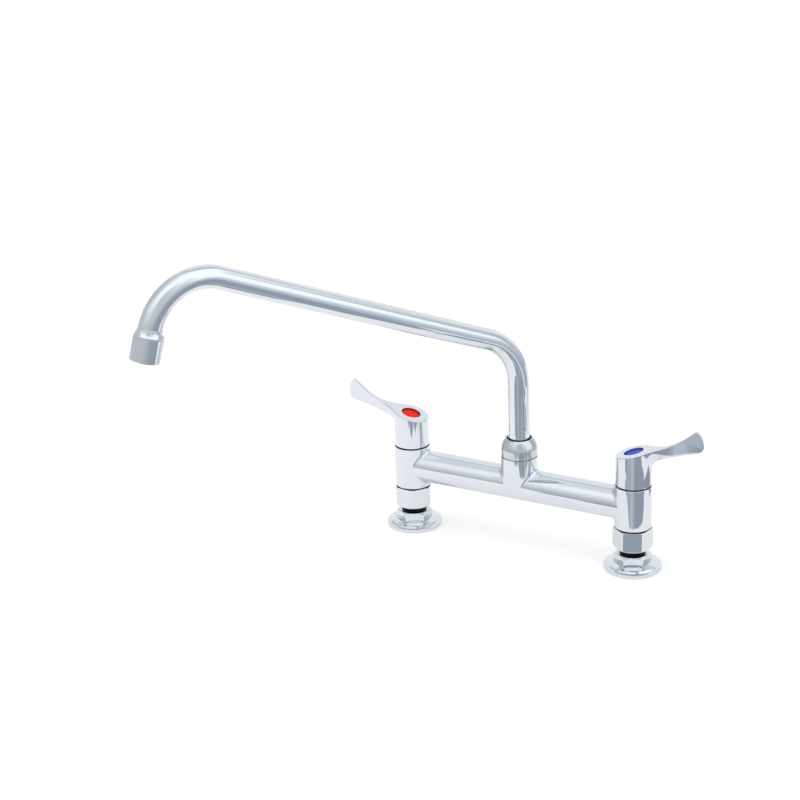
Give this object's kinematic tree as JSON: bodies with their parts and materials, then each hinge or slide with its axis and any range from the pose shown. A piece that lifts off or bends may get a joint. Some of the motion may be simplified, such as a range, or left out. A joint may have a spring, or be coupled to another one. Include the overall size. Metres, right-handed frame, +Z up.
{
  "type": "deck-mount faucet",
  "caption": "Deck-mount bridge faucet with a tall swinging spout, two quarter-turn lever handles and red and blue indexes.",
  "frame": {"origin": "on the deck plane, midway between the two inlet legs", "axes": "+Z up, +X along the bridge from the hot leg to the cold leg, -Y towards the user"},
  "size_m": [0.3276, 0.3178, 0.297],
  "materials": {
    "chrome": "polished chrome plate",
    "brass": "machined brass",
    "stainless": "plain stainless steel",
    "black_rubber": "matt black rubber",
    "black_plastic": "black acetal",
    "white_plastic": "white acetal",
    "ceramic": "lapped alumina",
    "fibre": "pressed red fibre",
    "red_plastic": "glossy red",
    "blue_plastic": "glossy blue"
  },
  "bodies": {
    "body": {"bridge_body": "chrome", "spout_nut": "chrome", "wear_bush": "black_plastic", "slip_washer": "white_plastic", "hot_deck_flange": "chrome", "hot_deck_gasket": "black_rubber", "hot_lock_nut": "chrome", "hot_inlet_nipple": "brass", "hot_union_nut": "chrome", "hot_union_washer": "fibre", "hot_union_seal": "black_rubber", "hot_cartridge_seal": "black_rubber", "hot_fixed_disc": "ceramic", "hot_cartridge_body": "brass", "hot_cartridge_oring": "black_rubber", "hot_wear_ring": "black_plastic", "cold_deck_flange": "chrome", "cold_deck_gasket": "black_rubber", "cold_lock_nut": "chrome", "cold_inlet_nipple": "brass", "cold_union_nut": "chrome", "cold_union_washer": "fibre", "cold_union_seal": "black_rubber", "cold_cartridge_seal": "black_rubber", "cold_fixed_disc": "ceramic", "cold_cartridge_body": "brass", "cold_cartridge_oring": "black_rubber", "cold_wear_ring": "black_plastic"},
    "spout": {"spout_tube": "chrome", "swivel_collar": "brass", "spout_orings": "black_rubber", "outlet_nose": "chrome", "aerator_shell": "chrome", "aerator_washer": "black_rubber", "aerator_screen": "stainless", "aerator_insert": "white_plastic"},
    "hot_lever": {"hot_handle": "chrome", "hot_index_button": "red_plastic", "hot_handle_screw": "stainless", "hot_spindle": "brass", "hot_spindle_orings": "black_rubber", "hot_circlip": "stainless", "hot_moving_disc": "ceramic"},
    "cold_lever": {"cold_handle": "chrome", "cold_index_button": "blue_plastic", "cold_handle_screw": "stainless", "cold_spindle": "brass", "cold_spindle_orings": "black_rubber", "cold_circlip": "stainless", "cold_moving_disc": "ceramic"}
  },
  "joints": [
    {"name": "spout_swivel", "type": "hinge", "parent": "body", "child": "spout", "pos_m": [0, 0, 0.085], "axis": [0, 0, 1], "continuous": true},
    {"name": "hot_handle_turn", "type": "hinge", "parent": "body", "child": "hot_lever", "pos_m": [-0.1015, 0, 0.085], "axis": [0, 0, 1], "range_deg": [0, 90]},
    {"name": "cold_handle_turn", "type": "hinge", "parent": "body", "child": "cold_lever", "pos_m": [0.1015, 0, 0.085], "axis": [0, 0, 1], "range_deg": [-90, 0]}
  ]
}
